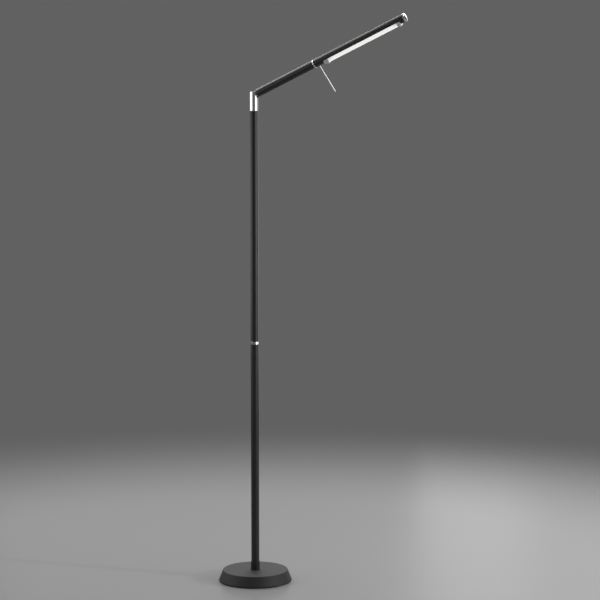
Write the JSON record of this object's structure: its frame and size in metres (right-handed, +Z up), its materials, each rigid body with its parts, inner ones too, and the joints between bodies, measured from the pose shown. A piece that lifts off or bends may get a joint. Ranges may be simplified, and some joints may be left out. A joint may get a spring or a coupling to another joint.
{
  "type": "pharmacy floor lamp",
  "caption": "Slim black floor lamp with a round weighted base, a straight pole, a tilting tube arm with a twisting LED head, an opal light and a thin bright guide rod.",
  "frame": {"origin": "on the floor, in the middle of the underside of the base, under the pole's axis", "axes": "+Z up along the pole, +X the way the arm rises, +Y towards the back of the base with the cord inlet"},
  "size_m": [0.5463, 0.2004, 1.5363],
  "materials": {
    "black_powder_coat": "matt black powder coat with a fine even grain",
    "polished_chrome": "mirror polished chrome plate",
    "satin_nickel": "satin nickel plate",
    "cast_iron": "as cast, lightly oiled",
    "zinc_steel": "bright zinc plate",
    "blackened_steel": "black oxide",
    "black_rubber": "matt, finely grained",
    "black_nylon": "moulded, satin",
    "turned_brass": "turned",
    "washer_fibre": "pressed fibre",
    "driver_case": "moulded, fine spark texture",
    "terminal_plastic": "moulded",
    "lead_sheath": "extruded sheath",
    "aluminium_extrusion": "extruded, clear anodised",
    "board_white": "white solder mask",
    "led_phosphor": "phosphor fill",
    "opal_acrylic": "opal, lit from inside",
    "white_nylon": "moulded, satin"
  },
  "bodies": {
    "stand": {"floor_pad": "black_rubber", "base_plate": "zinc_steel", "plate_screws": "zinc_steel", "base_weight": "cast_iron", "base_cover": "black_powder_coat", "cord_grommet": "black_nylon", "led_driver": "driver_case", "driver_screws": "zinc_steel", "terminal_block": "terminal_plastic", "pole_stud": "zinc_steel", "stud_washer": "zinc_steel", "stud_lock_washer": "zinc_steel", "stud_nut": "zinc_steel", "pole_collar": "black_powder_coat", "collar_screw": "blackened_steel", "lower_tube": "black_powder_coat", "foot_insert": "zinc_steel", "coupling_socket": "zinc_steel", "coupling_nipple": "zinc_steel", "coupling_ring": "polished_chrome", "coupling_plug": "zinc_steel", "upper_tube": "black_powder_coat", "top_insert": "zinc_steel", "swivel_bush": "black_nylon", "pole_lead": "lead_sheath"},
    "fork": {"fork": "polished_chrome", "swivel_washer": "zinc_steel", "swivel_spring_washer": "zinc_steel", "swivel_nut": "zinc_steel", "pivot_screw": "blackened_steel", "fork_lead": "lead_sheath"},
    "arm": {"arm_knuckle": "satin_nickel", "knuckle_screw": "blackened_steel", "pivot_sleeve": "turned_brass", "friction_washers": "washer_fibre", "arm_tube": "black_powder_coat", "arm_end_bush": "black_nylon", "arm_lead": "lead_sheath"},
    "head": {"head_ring": "polished_chrome", "head_spigot": "zinc_steel", "spigot_washer": "zinc_steel", "spigot_clip": "zinc_steel", "head_tube": "black_powder_coat", "guide_rod": "polished_chrome", "led_carrier": "aluminium_extrusion", "led_board": "board_white", "led_chips": "led_phosphor", "board_screws": "zinc_steel", "board_connector": "terminal_plastic", "head_lead": "lead_sheath", "diffuser": "opal_acrylic", "inner_end_block": "white_nylon", "tip_end_block": "white_nylon", "end_cap": "polished_chrome"}
  },
  "joints": [
    {"name": "fork_swivel", "type": "hinge", "parent": "stand", "child": "fork", "pos_m": [0, 0, 1.2873], "axis": [0, 0, 1], "range_deg": [-165, 165]},
    {"name": "arm_tilt", "type": "hinge", "parent": "fork", "child": "arm", "pos_m": [0, 0, 1.3295], "axis": [0, -1, 0], "range_deg": [-29, 66]},
    {"name": "head_twist", "type": "hinge", "parent": "arm", "child": "head", "pos_m": [0.1807, 0, 1.40995], "axis": [0.9135, 0, 0.4067], "range_deg": [-165, 165]}
  ]
}
